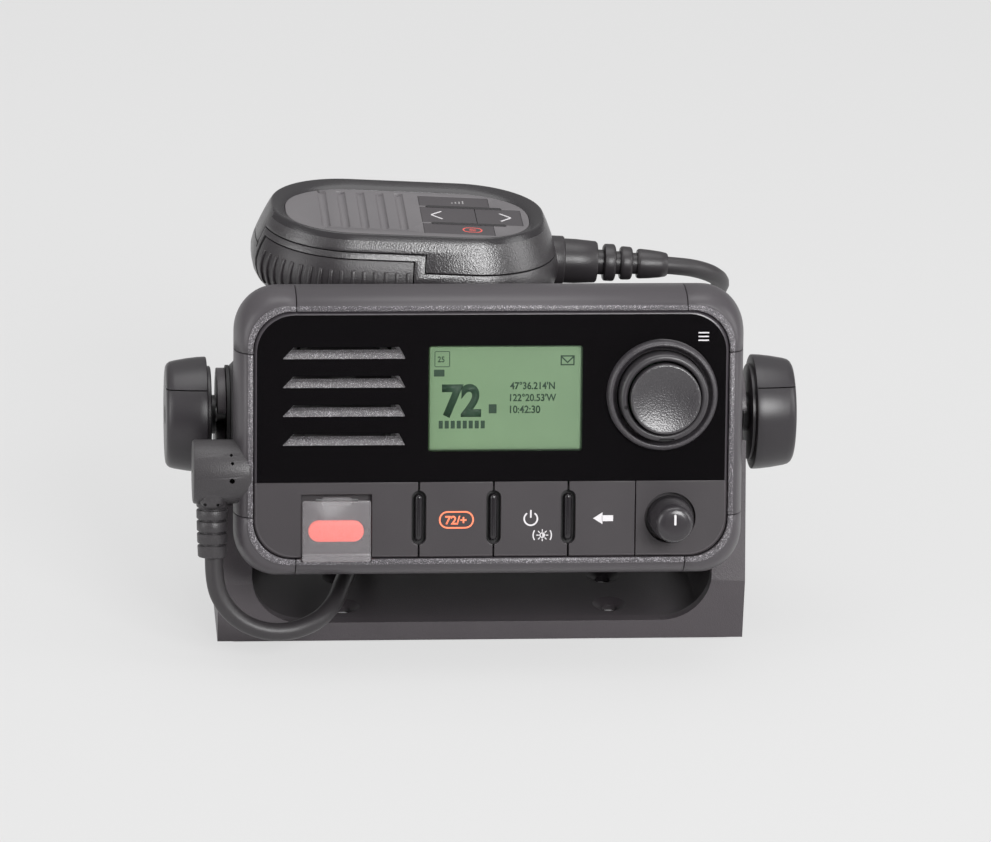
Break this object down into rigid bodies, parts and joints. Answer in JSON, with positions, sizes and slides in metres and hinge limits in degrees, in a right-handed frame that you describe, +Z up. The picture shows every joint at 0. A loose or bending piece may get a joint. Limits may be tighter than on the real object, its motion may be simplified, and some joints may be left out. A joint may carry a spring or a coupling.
{
  "type": "vhf marine radio",
  "caption": "Fixed-mount marine radio tilted in a U-shaped trunnion bracket, with a display, rotary selector, covered distress key and a corded fist microphone on top.",
  "frame": {"origin": "middle of the bolt pattern on the bracket's underside", "axes": "+X to the radio's right as its user sees it, +Y to its back, +Z up"},
  "size_m": [0.2028, 0.2375, 0.1224],
  "materials": {
    "bracket_plastic": "moulded, fine grain",
    "cord_rubber": "satin",
    "frame_plastic": "satin, textured lip",
    "cap_plastic": "satin",
    "fastener_steel": "zinc plated",
    "panel_gloss": "polished",
    "key_plastic": "satin",
    "divider_rubber": "gloss",
    "window_glass": "clear",
    "display_green": "lit liquid crystal",
    "grille_plastic": "grained",
    "speaker_metal": "plated",
    "collar_plastic": "satin",
    "ring_plastic": "satin gloss",
    "button_plastic": "grained",
    "encoder_plastic": "moulded",
    "membrane_rubber": "matt",
    "distress_red": "gloss",
    "clear_cover": "clear",
    "seal_rubber": "matt",
    "cast_housing": "black powder coat",
    "sink_aluminium": "black anodised",
    "board_green": "solder mask",
    "shield_tin": "tinned",
    "antenna_nickel": "nickel plated",
    "contact_brass": "plated",
    "connector_plastic": "moulded",
    "insert_brass": "machined",
    "plug_plastic": "moulded, fine grain",
    "washer_rubber": "matt",
    "knob_plastic": "fine grain",
    "mic_plastic": "fine grain",
    "mic_face_plastic": "satin",
    "mic_key_plastic": "satin",
    "talk_rubber": "satin",
    "stud_steel": "stainless"
  },
  "bodies": {
    "bracket": {"trunnion_bracket": "bracket_plastic", "cord_coil": "cord_rubber", "cord_plug_side": "cord_rubber", "cord_mic_side": "cord_rubber"},
    "radio": {"front_frame": "frame_plastic", "corner_caps": "cap_plastic", "corner_screws": "fastener_steel", "front_panel": "panel_gloss", "key_panel": "key_plastic", "display_glass": "window_glass", "lcd_module": "display_green", "sound_grille": "grille_plastic", "speaker": "speaker_metal", "selector_collar": "collar_plastic", "rotary_encoders": "encoder_plastic", "keypad_membrane": "membrane_rubber", "key_dividers": "divider_rubber", "cover_pin": "fastener_steel", "front_seal": "seal_rubber", "rear_housing": "cast_housing", "heat_sink": "sink_aluminium", "main_board": "board_green", "front_board": "board_green", "rf_shield": "shield_tin", "housing_screws": "fastener_steel", "antenna_socket": "antenna_nickel", "antenna_contact": "contact_brass", "power_inlet": "connector_plastic", "mic_socket": "connector_plastic", "trunnion_inserts": "insert_brass", "mic_plug": "plug_plastic", "plug_strain_relief": "cord_rubber", "friction_washers": "washer_rubber"},
    "selector_ring": {"selector_ring": "ring_plastic"},
    "selector_button": {"selector_button": "button_plastic"},
    "volume_shaft": {"volume_shaft": "fastener_steel"},
    "volume_knob": {"volume_knob": "ring_plastic"},
    "key_channel": {"key_channel": "key_plastic"},
    "key_power": {"key_power": "key_plastic"},
    "key_back": {"key_back": "key_plastic"},
    "distress_button": {"distress_button": "distress_red"},
    "distress_cover": {"distress_cover": "clear_cover"},
    "clamp_left": {"clamp_knob_left": "knob_plastic", "clamp_stud_left": "stud_steel"},
    "clamp_right": {"clamp_knob_right": "knob_plastic", "clamp_stud_right": "stud_steel"},
    "microphone": {"mic_front_shell": "mic_plastic", "mic_rear_shell": "mic_plastic", "mic_face_panel": "mic_face_plastic", "mic_strain_relief": "cord_rubber", "mic_hanger_stud": "stud_steel", "mic_board": "board_green", "mic_capsule": "speaker_metal", "mic_screws": "fastener_steel"},
    "talk_bar": {"talk_bar": "talk_rubber"},
    "mic_key_down": {"mic_key_down": "mic_key_plastic"},
    "mic_key_up": {"mic_key_up": "mic_key_plastic"},
    "mic_key_channel": {"mic_key_channel": "mic_key_plastic"},
    "mic_key_power_level": {"mic_key_power_level": "mic_key_plastic"}
  },
  "joints": [
    {"name": "radio_tilt", "type": "hinge", "parent": "bracket", "child": "radio", "pos_m": [0, 0, 0.0665], "axis": [1, 0, 0], "range_deg": [-16, 6], "deforming": ["cord_plug_side", "cord_mic_side"]},
    {"name": "microphone_lift", "type": "slide", "parent": "radio", "child": "microphone", "axis": [0, 0.247, 0.969], "range_m": [0, 0.05], "deforming": ["cord_mic_side"]},
    {"name": "clamp_left_turn", "type": "hinge", "parent": "radio", "child": "clamp_left", "pos_m": [-0.09, 0, 0.0665], "axis": [1, 0, 0], "continuous": true},
    {"name": "clamp_right_turn", "type": "hinge", "parent": "radio", "child": "clamp_right", "pos_m": [0.09, 0, 0.0665], "axis": [1, 0, 0], "continuous": true},
    {"name": "selector_turn", "type": "hinge", "parent": "radio", "child": "selector_ring", "pos_m": [0.0539, -0.04117, 0.09], "axis": [0, 0.969, -0.247], "continuous": true},
    {"name": "selector_push", "type": "slide", "parent": "selector_ring", "child": "selector_button", "axis": [0, 0.969, -0.247], "range_m": [0, 0.0008], "stiffness_N_per_m": 600, "springref_m": -0.0008},
    {"name": "volume_push", "type": "slide", "parent": "radio", "child": "volume_shaft", "axis": [0, 0.969, -0.247], "range_m": [0, 0.0008], "stiffness_N_per_m": 600, "springref_m": -0.0008},
    {"name": "volume_turn", "type": "hinge", "parent": "volume_shaft", "child": "volume_knob", "pos_m": [0.057, -0.05093, 0.05172], "axis": [0, 0.969, -0.247], "continuous": true},
    {"name": "key_channel_press", "type": "slide", "parent": "radio", "child": "key_channel", "axis": [0, 0.969, -0.247], "range_m": [0, 0.0006], "stiffness_N_per_m": 600, "springref_m": -0.0006},
    {"name": "key_power_press", "type": "slide", "parent": "radio", "child": "key_power", "axis": [0, 0.969, -0.247], "range_m": [0, 0.0006], "stiffness_N_per_m": 600, "springref_m": -0.0006},
    {"name": "key_back_press", "type": "slide", "parent": "radio", "child": "key_back", "axis": [0, 0.969, -0.247], "range_m": [0, 0.0006], "stiffness_N_per_m": 600, "springref_m": -0.0006},
    {"name": "distress_press", "type": "slide", "parent": "radio", "child": "distress_button", "axis": [0, 0.969, -0.247], "range_m": [0, 0.0008], "stiffness_N_per_m": 600, "springref_m": -0.0008},
    {"name": "distress_cover_open", "type": "hinge", "parent": "radio", "child": "distress_cover", "pos_m": [-0.04895, -0.04971, 0.05812], "axis": [-1, 0, 0], "range_deg": [0, 100], "stiffness_Nm_per_rad": 0.002, "springref_deg": -34.38},
    {"name": "talk_press", "type": "slide", "parent": "microphone", "child": "talk_bar", "axis": [0.0094, 0.9995, -0.0316], "range_m": [0, 0.0012], "stiffness_N_per_m": 500, "springref_m": -0.0012},
    {"name": "mic_key_down_press", "type": "slide", "parent": "microphone", "child": "mic_key_down", "axis": [-0.0426, -0.0312, -0.9986], "range_m": [0, 0.0005], "stiffness_N_per_m": 600, "springref_m": -0.0005},
    {"name": "mic_key_up_press", "type": "slide", "parent": "microphone", "child": "mic_key_up", "axis": [-0.0426, -0.0312, -0.9986], "range_m": [0, 0.0005], "stiffness_N_per_m": 600, "springref_m": -0.0005},
    {"name": "mic_key_channel_press", "type": "slide", "parent": "microphone", "child": "mic_key_channel", "axis": [-0.0426, -0.0312, -0.9986], "range_m": [0, 0.0005], "stiffness_N_per_m": 600, "springref_m": -0.0005},
    {"name": "mic_key_power_level_press", "type": "slide", "parent": "microphone", "child": "mic_key_power_level", "axis": [-0.0426, -0.0312, -0.9986], "range_m": [0, 0.0005], "stiffness_N_per_m": 600, "springref_m": -0.0005}
  ]
}
